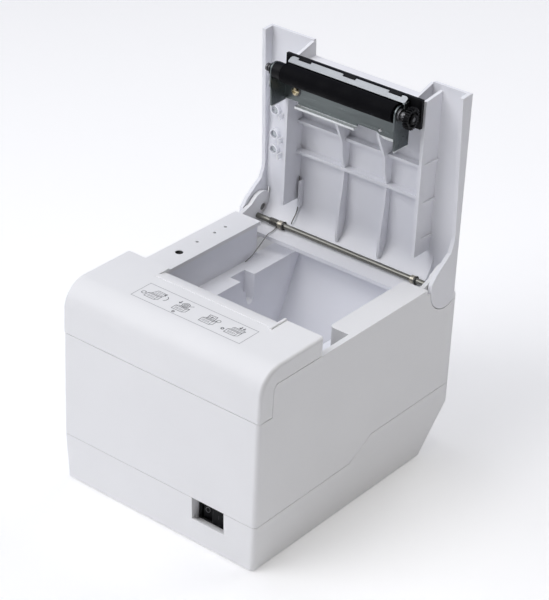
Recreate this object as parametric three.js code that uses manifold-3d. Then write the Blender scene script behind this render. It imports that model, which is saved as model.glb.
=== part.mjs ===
// Desktop receipt printer for 80 mm paper, with its paper cover standing open.
// Millimetres. X runs to the right seen from the front, Y to the back, Z up.
// The origin is under the middle of the machine, on the surface it stands on.

import * as THREE from 'three';
import { mergeVertices } from 'three/addons/utils/BufferGeometryUtils.js';
import Module from 'manifold-3d';

const wasm = await Module();
wasm.setup();

// ---- Driving dimensions ------------------------------------------------------------------

// The case, and the wall and running clearance used all over.
const WIDTH = 145;
const DEPTH = 184.8;
const HALF_W = WIDTH / 2;
const HALF_D = DEPTH / 2;
const WALL = 2.5;
const GAP = 0.3;
const CORNER = 3;

// Feet, case screws and the seam between the tray and the upper shell.
const FOOT_H = 1;
const FOOT_R = 6;
const FEET = [[-58, -78], [58, -78], [-58, 52], [58, 52]];
const POSTS = [[-64, -66], [64, -66], [-64, 40], [64, 40]];
const CORNER_NAMES = ['front_left', 'front_right', 'rear_left', 'rear_right'];
const SEAM_FRONT = 31;
const SEAM_REAR = 43;
const SEAM_JOG = [-7, 13.4];

// The deck around the paper bay, and the front cap.
const DECK_Z = 119.2;
const DECK_END = 60;
const DECK_CORNER_R = 3;
const CAP_SEAM_Z = 99.1;
const CAP_LEG_Y = -81.3;
const CAP_REAR_Y = -38.1;
const CAP_TOP_Z = 131;
const CAP_EDGE_R = 2.2;

// The power switch and its recess in the front.
const SWITCH_RECESS = { x: [26.6, 50], z: [14.5, SEAM_FRONT], sill: 16.5, depth: 7.5 };
const SWITCH = { x: [28.2, 47.2], z: [15.8, 28.6] };

// The paper bay, the pocket beside it and the bucket.
const BAY_LEFT = -52.6;
const BAY_RIGHT = 55.5;
const BAY_FRONT = -76;
const POCKET_RIGHT = 69;
const POCKET_END = -11;
const LEDGE_Z = 97;
const WELL = [-38, 43];
const WELL_FLOOR = 28;
const TRAY_FRONT = -15.4;
const NOTCH_BACK = -46;

// The cover's hinge: ears on the cover, lugs on the upper shell.
const HINGE = { y: 80, z: 116.5 };
const EAR_R = 16.4;
const EAR_RECESS_R = 16.9;
const LUG = [66.9, 69.5];
const PIN_R = 2.3;
const CLOSE_DEG = 87;

// The cover, standing open.
const SKIN_Y = 88.5;
const PLATE_Y = SKIN_Y - WALL;
const TIP_Z = 234.5;
const NOTCH = { left: -38.6, right: 45, z: 224 };
const FRAME_Y = 70.6;
const LIP = { y: 65.5, z: 128, inner: 20.5, outer: 23, left: -66, right: 57.5 };
const LEFT_WALL = [-46, -44];
const RIGHT_WALL = [52, 54];
const RIB_XS = [-9, 22.3];
const RIB_ZS = [182, 162];

// The rod across the bay and the cover spring on it.
const ROD = { y: 75, z: 112.5, r: 1.7 };
const WIRE_R = 0.45;

// The platen unit on the cover: roller, bracket and fixed blade.
const PLATEN = { y: 60, z: 221.6, r: 6, left: -39, right: 41.5 };
const SHAFT_R = 2.4;
const GEAR_END_R = 1.4;
const BUSH_R = 3.7;
const PAPER_X = 2.5;
const BRACKET_Y = [69.3, 70.3];
const FLANGE_X = [[-46.7, -45.7], [42.7, 43.7]];
const BRACKET_SCREWS = [[-37.5, 207.6], [33, 217]];
const BLADE = {
  x: [PAPER_X - 42, PAPER_X + 42],
  edge: { y: 62.4, z: 227.9 },
  depth: 4.8,
  thick: 0.6,
  slope: 32,
};
const BLADE_NOTCHES = [-32, 0.4, 33].map((offset) => PAPER_X + offset);

// Gears, motors and the frame of the print mechanism.
const GEAR_MODULE = 1;
const IDLER_TEETH = 20;
const PINION_TEETH = 8;
const CUTTER_TEETH = 10;
const PLATEN_TEETH = 24;
const IDLER = { y: -34, z: 86.4 };
const FEED_MOTOR = { y: -41.1, z: 73.8, r: 11 };
const GEAR_PHASE = THREE.MathUtils.radToDeg(Math.atan2(IDLER.z - FEED_MOTOR.z, IDLER.y - FEED_MOTOR.y));
const MESH_PHASE = 180 / IDLER_TEETH;
const GEAR_X = 47.6;
const GEAR_W = 4;
const FRAME_LEFT = -50.6;
const FRAME_RIGHT = 46.8;
const FRAME_T = 1.2;
const FRAME_TOP = 108;
const HEAD_PIVOT = { y: -35, z: 89.5 };

// The cutter under the front cap.
const CUTTER = { x: 0, y: -62 };
const RACK_PITCH = GEAR_MODULE * Math.PI;
const BLADE_Z = [103.7, 104.3];

// The feed button, the status lights and the rear panel. The reaches are distances from the hinge.
const BUTTON = { x: -62.7, reach: 83.6 };
const LIGHTS = { x: -64, reach: [66.5, 50.5, 40.3] };
const PANEL_Y = 84;

// ---- Materials ---------------------------------------------------------------------------

function finish(colour, roughness, metalness) {
  return new THREE.MeshStandardMaterial({ color: colour, roughness, metalness });
}

const CASE_WHITE = finish(0xe4e5ea, 0.5, 0);
const INNER_WHITE = finish(0xd8dae2, 0.55, 0);
const BLACK_PLASTIC = finish(0x15161a, 0.45, 0);
const BLACK_RUBBER = finish(0x101113, 0.8, 0);
const GREY_RUBBER = finish(0x4a4b4e, 0.85, 0);
const ZINC = finish(0x8f9795, 0.4, 1);
const STEEL = finish(0x9a9c98, 0.3, 1);
const BLADE_STEEL = finish(0xc4cac6, 0.3, 1);
const SPRING_STEEL = finish(0x4c4b46, 0.4, 1);
const BRASS = finish(0xb79c62, 0.35, 1);
const ALUMINIUM = finish(0xb4b6b9, 0.4, 1);
const BOARD_GREEN = finish(0x1e5a3a, 0.6, 0);
const CLEAR = finish(0xdfe6ea, 0.15, 0);
const PORT_SHELL = finish(0xa7a9ac, 0.35, 1);

// ---- Solids ------------------------------------------------------------------------------

function solid(geometry) {
  const bare = geometry.index ? geometry.toNonIndexed() : geometry.clone();
  bare.deleteAttribute('normal');
  bare.deleteAttribute('uv');
  const merged = mergeVertices(bare, 1e-4);
  return new wasm.Manifold(new wasm.Mesh({
    numProp: 3,
    vertProperties: new Float32Array(merged.attributes.position.array),
    triVerts: new Uint32Array(merged.index.array),
  }));
}

function box(x, y, z) {
  const geometry = new THREE.BoxGeometry(x[1] - x[0], y[1] - y[0], z[1] - z[0]);
  geometry.translate((x[0] + x[1]) / 2, (y[0] + y[1]) / 2, (z[0] + z[1]) / 2);
  return solid(geometry);
}

function extrusion(outline, depth) {
  const shape = new THREE.Shape(outline.map(([a, b]) => new THREE.Vector2(a, b)));
  return new THREE.ExtrudeGeometry(shape, { depth, bevelEnabled: false, curveSegments: 12 });
}

// An outline of [y, z] points pushed along X.
function alongX(outline, x) {
  const geometry = extrusion(outline, x[1] - x[0]);
  geometry.applyMatrix4(new THREE.Matrix4().set(0, 0, 1, x[0], 1, 0, 0, 0, 0, 1, 0, 0, 0, 0, 0, 1));
  return solid(geometry);
}

// An outline of [x, z] points pushed along Y.
function alongY(outline, y) {
  const geometry = extrusion(outline, y[1] - y[0]);
  geometry.applyMatrix4(new THREE.Matrix4().set(1, 0, 0, 0, 0, 0, -1, y[1], 0, 1, 0, 0, 0, 0, 0, 1));
  return solid(geometry);
}

// An outline of [x, y] points pushed along Z.
function alongZ(outline, z) {
  const geometry = extrusion(outline, z[1] - z[0]);
  geometry.translate(0, 0, z[0]);
  return solid(geometry);
}

function polar(centre, radius, degrees) {
  const angle = THREE.MathUtils.degToRad(degrees);
  return [centre[0] + radius * Math.cos(angle), centre[1] + radius * Math.sin(angle)];
}

function arc(centre, radius, fromDeg, toDeg, steps) {
  const points = [];
  for (let i = 0; i <= steps; i += 1) {
    points.push(polar(centre, radius, fromDeg + ((toDeg - fromDeg) * i) / steps));
  }
  return points;
}

function disc(centre, radius, steps) {
  return arc(centre, radius, 0, 360, steps).slice(0, -1);
}

const rodX = (y, z, r, x, steps = 20) => alongX(disc([y, z], r, steps), x);
const rodY = (x, z, r, y, steps = 20) => alongY(disc([x, z], r, steps), y);
const rodZ = (x, y, r, z, steps = 20) => alongZ(disc([x, y], r, steps), z);

function roundedRectangle(halfX, yFront, yRear, radius, steps = 5) {
  return [
    ...arc([halfX - radius, yFront + radius], radius, 270, 360, steps),
    ...arc([halfX - radius, yRear - radius], radius, 0, 90, steps),
    ...arc([radius - halfX, yRear - radius], radius, 90, 180, steps),
    ...arc([radius - halfX, yFront + radius], radius, 180, 270, steps),
  ];
}

function union(pieces) {
  return pieces.reduce((whole, piece) => whole.add(piece));
}

function cut(whole, pieces) {
  return pieces.reduce((rest, piece) => rest.subtract(piece), whole);
}

function tube(points, radius, steps, sides) {
  const path = new THREE.CatmullRomCurve3(points.map((p) => new THREE.Vector3(...p)));
  const ring = new THREE.Shape(disc([0, 0], radius, sides).map(([a, b]) => new THREE.Vector2(a, b)));
  const options = { steps, extrudePath: path, bevelEnabled: false };
  return solid(new THREE.ExtrudeGeometry(ring, options));
}

function gearOutline(centre, teeth, phase) {
  const pitch = (teeth * GEAR_MODULE) / 2;
  const step = 360 / teeth;
  const shape = [[pitch - 1.1, -0.27], [pitch + 0.65, -0.11], [pitch + 0.65, 0.11], [pitch - 1.1, 0.27]];
  const points = [];
  for (let i = 0; i < teeth; i += 1) {
    for (const [radius, offset] of shape) {
      points.push(polar(centre, radius, phase + (i + offset) * step));
    }
  }
  return points;
}

const group = new THREE.Group();
group.name = 'receipt_printer';

function add(name, manifold, material) {
  const part = manifold.getMesh();
  const geometry = new THREE.BufferGeometry();
  geometry.setAttribute('position', new THREE.BufferAttribute(new Float32Array(part.vertProperties), 3));
  geometry.setIndex(new THREE.BufferAttribute(new Uint32Array(part.triVerts), 1));
  geometry.computeVertexNormals();
  const mesh = new THREE.Mesh(geometry, material);
  mesh.name = name;
  group.add(mesh);
}

// ---- Body shells -------------------------------------------------------------------------

function seamLine(lift) {
  return [
    [-HALF_D - 1, SEAM_FRONT + lift],
    [SEAM_JOG[0], SEAM_FRONT + 1 + lift],
    [SEAM_JOG[1], SEAM_REAR + lift],
    [HALF_D + 1, SEAM_REAR + lift],
  ];
}

function bodyPlan(inset) {
  return roundedRectangle(HALF_W - inset, inset - HALF_D, HALF_D - inset, CORNER);
}

// The body below the seam is drawn in towards the bottom by the mould's draft.
function draftedBody(inset, top) {
  const draft = 1.4;
  const geometry = extrusion(bodyPlan(inset), SEAM_FRONT - FOOT_H);
  const position = geometry.attributes.position;
  for (let i = 0; i < position.count; i += 1) {
    if (position.getZ(i) < 0.01) {
      position.setX(i, position.getX(i) * (1 - draft / HALF_W));
      position.setY(i, position.getY(i) * (1 - draft / HALF_D));
    }
  }
  geometry.translate(0, 0, FOOT_H);
  return solid(geometry).add(alongZ(bodyPlan(inset), [SEAM_FRONT, top]));
}


function baseTray() {
  const bottom = FOOT_H;
  const rear = [[67, bottom], [HALF_D, 32.6]];
  const side = (inset, lift) => [
    [-HALF_D - 1, bottom + inset],
    [rear[0][0] - inset / 2, bottom + inset],
    [rear[1][0] - inset, rear[1][1] + inset / 2],
    [HALF_D - inset, SEAM_REAR + lift],
    ...seamLine(lift).reverse().slice(1),
  ];
  const outer = draftedBody(0, SEAM_REAR + 2).intersect(alongX(side(0, 0), [-HALF_W, HALF_W]));
  const inner = draftedBody(WALL, SEAM_REAR + 5).intersect(alongX(side(WALL, 3), [-HALF_W, HALF_W]));
  const { x, z, depth } = SWITCH_RECESS;
  const face = -HALF_D;
  const pocketWalls = box([x[0] - 2, x[1] + 2], [face + 1.8, face + depth + 2], [z[0] - 2, z[1]]);
  const pocket = union([
    box(x, [face - 2, face + depth], [SWITCH_RECESS.sill, z[1] + 1]),
    box(x, [face + 2, face + depth], [z[0], z[1] + 1]),
  ]);
  const switchHole = box(SWITCH.x, [face + 3, face + depth + 4], [SWITCH.z[0] - 0.7, SWITCH.z[1] + 0.7]);
  const boardPosts = [[-50, -40], [-50, 40], [50, -40], [50, 40]]
    .map(([px, py]) => rodZ(px, py, 3, [bottom + 2, 11.7], 16));
  const cuts = [];
  for (const [fx, fy] of FEET) {
    cuts.push(rodZ(fx, fy, FOOT_R + GAP, [0, bottom + 1.2], 24));
  }
  for (const [px, py] of POSTS) {
    cuts.push(rodZ(px, py, 1.8, [0, 6], 14));
    cuts.push(rodZ(px, py, 3.3, [0, bottom + 1.4], 16));
  }
  return cut(union([outer.subtract(inner), pocketWalls, ...boardPosts]), [pocket, switchHole, ...cuts]);
}

function shellSide(inset) {
  const capStep = inset ? CAP_SEAM_Z - inset : CAP_SEAM_Z;
  const leg = CAP_LEG_Y + inset;
  return [
    ...seamLine(inset ? -4 : GAP),
    [HALF_D - inset, SEAM_REAR + 1],
    [HALF_D - inset, DECK_Z - inset],
    [leg + 3, DECK_Z - inset],
    [leg + 0.6, DECK_Z - 2.8 - inset],
    [leg, capStep],
    [inset - HALF_D, capStep],
  ];
}

function hingeLug(side) {
  const { y, z } = HINGE;
  const outline = [
    [58.6, 95],
    [58.6, 118.9],
    [68.2, 122],
    ...arc([78.6, 117.1], 10.3, 130, -45, 12),
    [88.5, 95],
  ];
  const x = side > 0 ? LUG : [-LUG[1], -LUG[0]];
  const bores = [rodX(y, z, PIN_R + GAP, x, 18), rodX(ROD.y, ROD.z, ROD.r + GAP, x, 14)];
  return cut(alongX(outline, x), bores);
}

function upperShell() {
  const plan = (inset) => alongZ(bodyPlan(inset), [25, 125]);
  const outer = plan(0).intersect(alongX(shellSide(0), [-HALF_W, HALF_W]));
  const inner = plan(WALL).intersect(alongX(shellSide(WALL), [-HALF_W, HALF_W]));
  const { y, z } = HINGE;
  const inside = [-70.2, 70.2];
  const bay = [
    box([BAY_LEFT, BAY_RIGHT], [BAY_FRONT, HALF_D + 1], [LEDGE_Z + 0.9, DECK_Z + 1]),
    box([BAY_LEFT, POCKET_RIGHT], [BAY_FRONT, POCKET_END], [CAP_SEAM_Z - 2, DECK_Z + 1]),
    box([-HALF_W - 1, HALF_W + 1], [DECK_END, HALF_D + 1], [DECK_Z - 4, DECK_Z + 1]),
    alongX(disc([y, z], EAR_RECESS_R, 56), [-HALF_W - 1, HALF_W + 1]),
    box([-LUG[1] - 0.4, LUG[1] + 0.4], [DECK_END, HALF_D + 1], [100, DECK_Z + 1]),
  ];
  const recess = SWITCH_RECESS.x;
  const rims = [
    box([inside[0], BAY_LEFT - 2.3], [DECK_END - WALL, DECK_END], [94, DECK_Z - 1]),
    box([BAY_RIGHT + 2.3, inside[1]], [DECK_END - WALL, DECK_END], [94, DECK_Z - 1]),
    box([inside[0], BAY_LEFT - 2.3], [DECK_END - WALL, 90], [93.5, 96]),
    box([BAY_RIGHT + 2.3, inside[1]], [DECK_END - WALL, 90], [93.5, 96]),
    box([BAY_RIGHT + DECK_CORNER_R, inside[1]], [POCKET_END, POCKET_END + 2], [70, DECK_Z - 1]),
    box([recess[0] - 3, recess[1] + 3], [0.5 - HALF_D, 10 - HALF_D], [SEAM_FRONT + 0.6, 33.5]),
  ];
  const corner = [BAY_RIGHT + DECK_CORNER_R, POCKET_END + DECK_CORNER_R];
  const rounding = alongZ([
    [BAY_RIGHT - 1, POCKET_END - 1],
    [corner[0], POCKET_END - 1],
    ...arc(corner, DECK_CORNER_R, 270, 180, 6),
    [BAY_RIGHT - 1, corner[1]],
  ], [LEDGE_Z + 0.9, DECK_Z + 1]);
  const cornerWall = alongZ([...arc(corner, DECK_CORNER_R, 272, 212, 5), ...arc(corner, 1.6, 212, 272, 5)],
    [97.3, DECK_Z - 1]);
  const posts = POSTS.map(([px, py]) => union([
    rodZ(px, py, 3.4, [4.2, 60], 18),
    box(px > 0 ? [px, inside[1]] : [inside[0], px], [py - 1, py + 1], [48, 60]),
  ]));
  const holes = [
    ...POSTS.map(([px, py]) => rodZ(px, py, 1.7, [3, 24], 14)),
    rodZ(BUTTON.x, HINGE.y - BUTTON.reach, 2.5, [DECK_Z - 4, DECK_Z + 1], 20),
    ...LIGHTS.reach.map((reach) => rodZ(LIGHTS.x + 0.6, HINGE.y - reach, 1.1, [DECK_Z - 4, DECK_Z + 1], 12)),
    box([-56, 56], [80, HALF_D + 1], [48, 70]),
  ];
  const body = union([cut(outer.subtract(inner), [...bay, rounding]), ...rims, cornerWall, ...posts]);
  return union([cut(body, holes), hingeLug(-1), hingeLug(1)]);
}

function capCurve(inset) {
  const front = inset - HALF_D;
  const top = CAP_TOP_Z - inset;
  return [
    [front, 108],
    ...arc([front + 16, top - 16.6], 16, 172, 100, 7),
    [-76, top - 0.3],
    [CAP_REAR_Y - inset, top],
  ];
}

// The cap before it is hollowed: convex, with its side edges rounded all the way along the curve.
function capBlock() {
  const layers = [0, 22.5, 45, 67.5, 90].map((deg) => {
    const [side, inset] = polar([CAP_EDGE_R, CAP_EDGE_R], -CAP_EDGE_R, deg);
    const outline = [...capCurve(inset), [CAP_REAR_Y - inset, 90], [inset - HALF_D, 90]];
    return alongX(outline, [side - HALF_W, HALF_W - side]);
  });
  return wasm.Manifold.hull(layers);
}

function frontCap() {
  const rear = CAP_REAR_Y;
  const below = alongX([
    [rear + 2, DECK_Z + GAP],
    [CAP_LEG_Y + 2.7, DECK_Z + GAP],
    [CAP_LEG_Y + 0.3, DECK_Z - 2.6],
    [CAP_LEG_Y - GAP, CAP_SEAM_Z + GAP],
    [-HALF_D - 2, CAP_SEAM_Z + GAP],
    [-HALF_D - 2, 80],
    [rear + 2, 80],
  ], [-HALF_W - 1, HALF_W + 1]);
  const inner = [...capCurve(WALL), [rear - WALL, 90], [WALL - HALF_D, 90]];
  const hollow = alongX(inner, [WALL - HALF_W, HALF_W - WALL]);
  const mouth = [-40, 45];
  const backing = alongX([
    [-53, CAP_TOP_Z - 1], [-53, 127.5], [rear - 2, 121.5], [rear, 121.5], [rear, CAP_TOP_Z - 1],
  ], [mouth[0] - 2, mouth[1] + 2]);
  const bevel = alongX([
    [-48.6, CAP_TOP_Z + 0.05], [rear - 3.5, 129.4], [rear + 1, 126.6], [rear + 1, CAP_TOP_Z + 2],
  ], mouth);
  const groove = box(mouth, [-50.4, -49.6], [CAP_TOP_Z - 0.6, CAP_TOP_Z + 1]);
  const tooth = alongY([
    [mouth[1] - 0.8, 126], [mouth[1] + 1.4, 126], [mouth[1] + 1.4, CAP_TOP_Z + 0.5],
    [mouth[1] + 0.9, CAP_TOP_Z + 1], [mouth[1] - 0.3, CAP_TOP_Z + 1], [mouth[1] - 0.8, CAP_TOP_Z + 0.5],
  ], [-52, rear]);
  const body = cut(capBlock(), [below, hollow]);
  return union([cut(body.add(backing), [bevel, groove]), tooth]);
}

// ---- Paper bucket ------------------------------------------------------------------------

function wellSide(offset, floor, top) {
  const slope = (z) => 63.6 + 0.45 * (z - 54.7);
  return [
    [-22 - offset, floor],
    [slope(floor) + offset * 1.1 - 6, floor],
    [slope(floor + 5) + offset * 1.1, floor + 5],
    [slope(top) + offset * 1.1, top],
    [-22 - offset, top],
  ];
}

function ledgeNotch(inset, floor) {
  const centre = [37.5, LEDGE_Z + 1];
  return [
    [24.5 - inset, LEDGE_Z + 1],
    ...arc(centre, 13 + inset, 185, 235, 4),
    [31.2 - inset, floor + 3],
    [32.4 - inset / 2, floor],
    [35.2, floor],
    [37 + inset, floor + 1],
    [37.7 + inset, floor + 3],
    [37.7 + inset, LEDGE_Z + 1],
  ];
}


function paperBucket() {
  const outerX = [WELL[0] - 2, WELL[1] + 2];
  const tray = [BAY_LEFT - 2, BAY_RIGHT + 2];
  const rear = HALF_D - WALL - 0.5;
  const shell = union([
    alongX(wellSide(2, WELL_FLOOR - 2, LEDGE_Z), outerX),
    box(tray, [TRAY_FRONT, rear], [LEDGE_Z - 2, LEDGE_Z]),
    box([tray[0], BAY_LEFT], [-37, DECK_END - 3], [LEDGE_Z - 2, DECK_Z - WALL - 0.4]),
    box([BAY_RIGHT, tray[1]], [POCKET_END + 2.3, DECK_END - 3], [LEDGE_Z - 2, DECK_Z - WALL - 0.4]),
    alongX(ledgeNotch(2, 76), [NOTCH_BACK - 2, WELL[0] - 1]).intersect(box(tray, [0, 60], [70, LEDGE_Z])),
  ]);
  const cuts = [
    alongX(wellSide(0, WELL_FLOOR, LEDGE_Z + 3), WELL),
    box(WELL, [-26, -21], [92, LEDGE_Z + 3]),
    box([WELL[0] - 3, WELL[1] + 3], [-26, TRAY_FRONT], [LEDGE_Z - 1.7, LEDGE_Z + 3]),
    alongX(ledgeNotch(0, 78), [NOTCH_BACK, WELL[0] + 1]),
  ];
  return cut(shell, cuts);
}

// ---- Cover -------------------------------------------------------------------------------


function earOutline() {
  const { y, z } = HINGE;
  return [
    [79.2, TIP_Z - 0.5],
    [84.1, 145.3],
    [83.6, 141],
    [81.1, 134.9],
    [74.1, 130.1],
    [68.2, 125.7],
    ...arc([y, z], EAR_R, 165, 301, 22),
    [SKIN_Y, TIP_Z],
    [SKIN_Y - WALL, TIP_Z],
  ];
}

function coverPanel() {
  const { left, right, z } = NOTCH;
  const outline = [
    [-HALF_W, LIP.z], [HALF_W, LIP.z], [HALF_W, TIP_Z], [right + 2, TIP_Z], [right, z],
    [left, z], [left - 0.4, TIP_Z], [-HALF_W, TIP_Z],
  ];
  const curl = alongX([
    ...arc([LIP.y, LIP.z], LIP.outer, 0, -90, 16),
    ...arc([LIP.y, LIP.z], LIP.inner, -90, 0, 16),
  ], [LIP.left, LIP.right]);
  const heel = box([LIP.right - 1, LUG[0] - 0.5], [PLATE_Y, SKIN_Y], [111, LIP.z + 1]);
  const slots = [-1, 1].map((side) => {
    const x = [LUG[0] - 0.5, LUG[1] + 0.5].map((v) => v * side).sort((a, b) => a - b);
    return box(x, [PLATE_Y - 1, SKIN_Y + 1], [100, HINGE.z + 11.6]);
  });
  const reliefs = [[-58, -45], [50, 54.8]].map((x) => rodX(ROD.y, ROD.z, 3.3, x, 20));
  return cut(union([alongY(outline, [PLATE_Y, SKIN_Y]), curl, heel]), [...slots, ...reliefs]);
}

function notchWalls() {
  const { left, right, z } = NOTCH;
  const side = [[PLATE_Y + 1, z - 2], [FRAME_Y, z - 2], [FRAME_Y, z + 5], [PLATE_Y + 1, TIP_Z - 0.6]];
  return [
    box([left - 2, right + 2], [FRAME_Y, PLATE_Y + 1], [z - 2, z]),
    alongX(side, [left - 2, left]),
    alongX(side, [right, right + 2]),
  ];
}

function verticalRib(x) {
  const top = NOTCH.z - 1;
  const outline = [
    [FRAME_Y, top], [FRAME_Y, 197.5], [75.8, 186.4], [78.4, 181], [79.2, 172], [82, 162.5], [81.2, 148],
    [79.6, 138], [79, 128], [78.8, 116.5], [79.4, 113.5], [84, 117.5], [86.5, 126], [86.5, top],
  ];
  return alongX(outline, [x - 0.9, x + 0.9]);
}

function gusset(z, height) {
  const root = PLATE_Y + 0.5;
  const x = RIGHT_WALL[1] - 0.5;
  const outline = [[x, root], [x, PLATE_Y - height], [x + 0.5, PLATE_Y - height],
    [x + 1.6, PLATE_Y - height * 0.65], [x + 1.6, root]];
  return alongZ(outline, [z - 1, z + 1]);
}

function coverShell() {
  const lowEdge = LIP.z + 1;
  const between = [LEFT_WALL[1] - 0.5, RIGHT_WALL[0] + 0.5];
  const ribs = [
    box(LEFT_WALL, [FRAME_Y, PLATE_Y + 0.5], [lowEdge, NOTCH.z - 1]),
    alongX([
      [PLATE_Y + 0.5, lowEdge + 0.5], [FRAME_Y, lowEdge + 0.5], [FRAME_Y, 229], [PLATE_Y + 0.5, 231],
    ], RIGHT_WALL),
    ...RIB_ZS.map((z) => box(between, [81, PLATE_Y + 0.5], [z - 0.9, z + 0.9])),
    ...RIB_XS.map((x) => verticalRib(x)),
    gusset(188, 12.9),
    gusset(163, 12.2),
    gusset(139.5, 10.8),
    box([-42.2, -41], [82.4, PLATE_Y + 0.5], [124.5, 142]),
  ];
  const ears = [-1, 1].map((side) => {
    const x = [HALF_W - WALL, HALF_W].map((v) => v * side).sort((a, b) => a - b);
    const blind = [HALF_W - WALL - 0.5, HALF_W - 1].map((v) => v * side).sort((a, b) => a - b);
    return alongX(earOutline(), x).subtract(rodX(HINGE.y, HINGE.z, PIN_R + GAP, blind, 18));
  });
  const bosses = [
    ...LIGHTS.reach.map((reach) => rodY(LIGHTS.x, HINGE.z + reach - 1.2, 3.4, [83.6, PLATE_Y + 0.5], 18)),
    ...BRACKET_SCREWS.map(([x, z]) => rodY(x, z, 3.4, [FRAME_Y, PLATE_Y + 0.5], 18)),
    rodY(BUTTON.x, HINGE.z + BUTTON.reach, 5.6, [83, PLATE_Y + 0.5], 22),
  ];
  const holes = [
    ...LIGHTS.reach.map((reach) => rodY(LIGHTS.x, HINGE.z + reach - 1.2, 2.5, [80, 90], 16)),
    ...BRACKET_SCREWS.map(([x, z]) => rodY(x, z, 1.5, [FRAME_Y - 1, 82], 12)),
    rodY(BUTTON.x, HINGE.z + BUTTON.reach, 4.4, [80, 90], 22),
  ];
  return cut(union([coverPanel(), ...notchWalls(), ...ribs, ...ears, ...bosses]), holes);
}

// ---- Platen unit on the cover ------------------------------------------------------------


function flangeOutline() {
  const { y, z } = PLATEN;
  return [
    [BRACKET_Y[1], 199.5],
    [57, 198.5],
    [56, 211],
    [55.2, 212.5],
    ...arc([y, z], 4.8, 180, 0, 10).map(([a, b]) => [a, b + 0.4]),
    [64.8, 212.6],
    [66.2, 211.4],
    [BRACKET_Y[1], 210.8],
  ];
}

function platenBracket() {
  const plate = alongY([
    [FLANGE_X[0][0], 201], [-35.7, 201], [-35.7, 199], [8, 199], [8, 201], [22, 201], [27, 198],
    [FLANGE_X[1][1], 198], [FLANGE_X[1][1], 220], [FLANGE_X[0][0], 220],
  ], BRACKET_Y);
  const lip = box([-35.7, 8], [66.2, BRACKET_Y[1] - 0.2], [197.8, 199.3]);
  const flanges = FLANGE_X.map((x) => alongX(flangeOutline(), x));
  const holes = [
    ...BRACKET_SCREWS.map(([x, z]) => rodY(x, z, 1.9, [68, 72], 14)),
    rodY(24.6, 202.6, 1.2, [68, 72], 12),
    rodX(PLATEN.y, PLATEN.z, BUSH_R + GAP, [-50, 50], 20),
  ];
  return cut(union([plate, lip, ...flanges]), holes);
}

function bracketScrew([x, z]) {
  const head = rodY(x, z, 2.9, [67.4, BRACKET_Y[0] - 0.05], 20);
  const shank = rodY(x, z, 1.2, [68.9, 80], 10);
  const slot = [
    box([x - 2, x + 2], [67, 67.9], [z - 0.35, z + 0.35]),
    box([x - 0.35, x + 0.35], [67, 67.9], [z - 2, z + 2]),
  ];
  return cut(head.add(shank), slot);
}

// The fixed blade leans forward by its own slope, so its cutting edge sits just over the roller.

function ontoBlade(flat) {
  return flat.rotate([BLADE.slope, 0, 0]).translate([0, BLADE.edge.y, BLADE.edge.z]);
}

function fixedBlade() {
  const [left, right] = BLADE.x;
  const outline = [
    [left + 0.6, 0], [right - 0.6, 0], [right, 0.6],
    [right, BLADE.depth - 1.6], [right - 0.5, BLADE.depth - 0.5],
    [right - 1.6, BLADE.depth], [left + 1.6, BLADE.depth], [left + 0.5, BLADE.depth - 0.5],
    [left, BLADE.depth - 1.6], [left, 0.6],
  ];
  const notch = [BLADE.depth - 1.5, BLADE.depth + 1];
  const notches = BLADE_NOTCHES.map((x) => box([x - 4.6, x + 4.6], notch, [-1, 1]));
  return ontoBlade(cut(alongZ(outline, [-BLADE.thick, 0]), notches));
}

function bladeHolder() {
  const back = box([-44, 53.5], [66.9, 69], [213, 230.9]);
  const shelf = alongX([[64.2, 227.6], [66.9, 229.3], [66.9, 226], [65.2, 226]], BLADE.x);
  const reach = [BLADE.depth - 1.2, BLADE.depth + 0.9];
  const lugs = BLADE_NOTCHES.map((x) => ontoBlade(box([x - 4.2, x + 4.2], reach, [-1.4, 0.3])));
  const screwRelief = rodY(BRACKET_SCREWS[1][0], BRACKET_SCREWS[1][1], 3.6, [66, 70], 20);
  return cut(union([back, shelf, ...lugs]), [screwRelief]);
}

function platenShaft() {
  const { y, z } = PLATEN;
  const groove = rodX(y, z, 4, [-50.9, -49.9], 16).subtract(rodX(y, z, 1.8, [-50.9, -49.9], 16));
  const journal = rodX(y, z, SHAFT_R, [-52.2, 49.6], 20).subtract(groove);
  return journal.add(rodX(y, z, GEAR_END_R, [49, 53.6], 16));
}

function tubeX(y, z, outer, inner, x, steps) {
  return rodX(y, z, outer, x, steps).subtract(rodX(y, z, inner, [x[0] - 1, x[1] + 1], steps));
}

function leftBush() {
  const collar = tubeX(PLATEN.y, PLATEN.z, 5.3, SHAFT_R + GAP, [-45.4, PLATEN.left - 0.6], 28);
  return collar.add(tubeX(PLATEN.y, PLATEN.z, BUSH_R, SHAFT_R + GAP, [-48.6, -42], 20));
}

function platenGear() {
  const { y, z } = PLATEN;
  const outline = [];
  for (let i = 0; i < PLATEN_TEETH; i += 1) {
    const at = (i * 360) / PLATEN_TEETH;
    outline.push(polar([y, z], 5.4, at - 4), polar([y, z], 6.6, at - 1.8));
    outline.push(polar([y, z], 6.6, at + 1.8), polar([y, z], 5.4, at + 4));
  }
  const body = alongX(outline, [49.8, 53]);
  const dish = tubeX(y, z, 4.6, 3.2, [51.9, 53.5], 20);
  return cut(body, [dish, rodX(y, z, GEAR_END_R + GAP, [49, 54], 16)]);
}

// ---- Hinge, rod and springs --------------------------------------------------------------

function hingePin(side) {
  const x = [LUG[0] + 0.7, HALF_W - 1.3].map((v) => v * side).sort((a, b) => a - b);
  return rodX(HINGE.y, HINGE.z, PIN_R, x, 18);
}

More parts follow.
